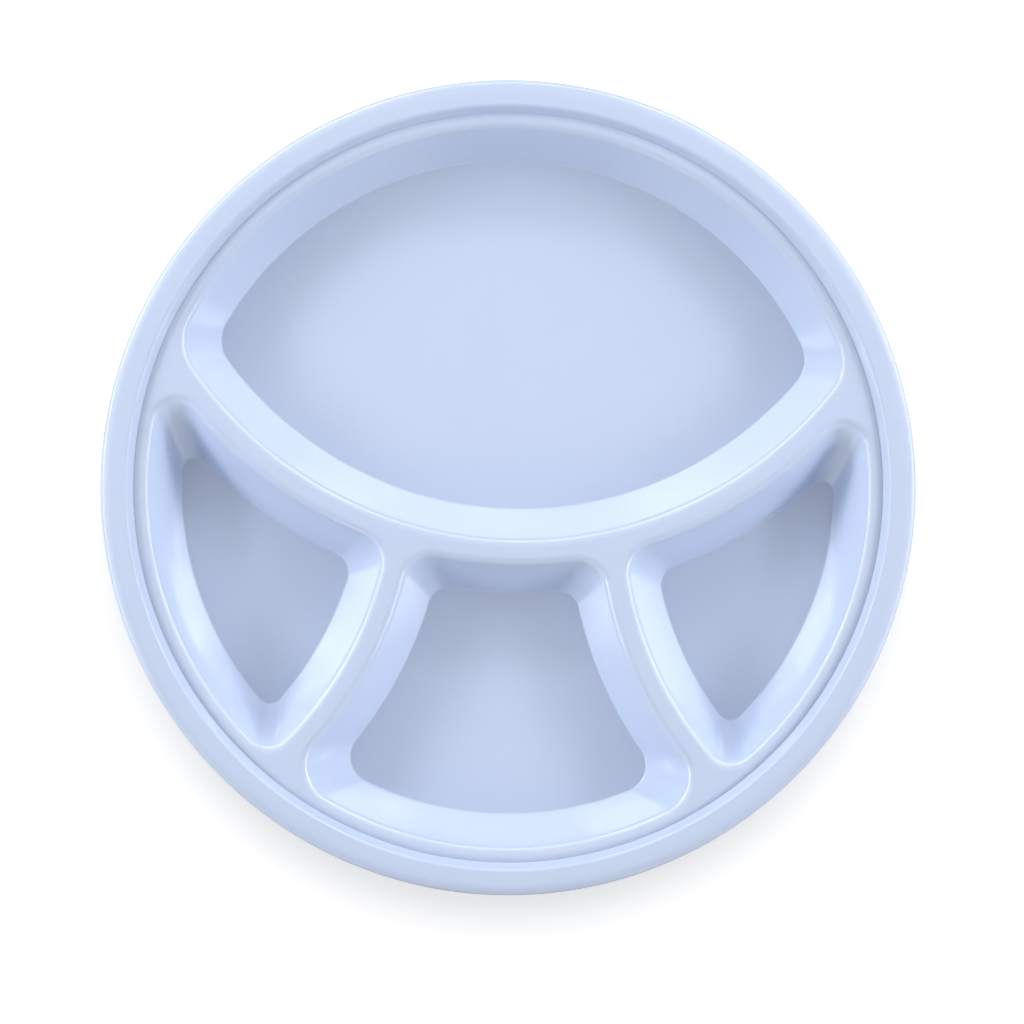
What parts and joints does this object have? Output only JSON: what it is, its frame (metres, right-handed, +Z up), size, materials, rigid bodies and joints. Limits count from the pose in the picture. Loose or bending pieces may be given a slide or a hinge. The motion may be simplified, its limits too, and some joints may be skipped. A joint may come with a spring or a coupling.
{
  "type": "divided compartment plate",
  "caption": "Round serving plate with a wide well, side wells and a low middle well, parted by curved hollow ridges, with a raised rolled rim and a foot ring.",
  "frame": {"origin": "middle of the plate on the plane that its foot ring rests on", "axes": "+Z up out of the wells, +Y towards the wide well"},
  "size_m": [0.28, 0.28, 0.025],
  "materials": {
    "moulding": "gloss"
  },
  "bodies": {
    "root": {"plate": "moulding"}
  },
  "joints": []
}
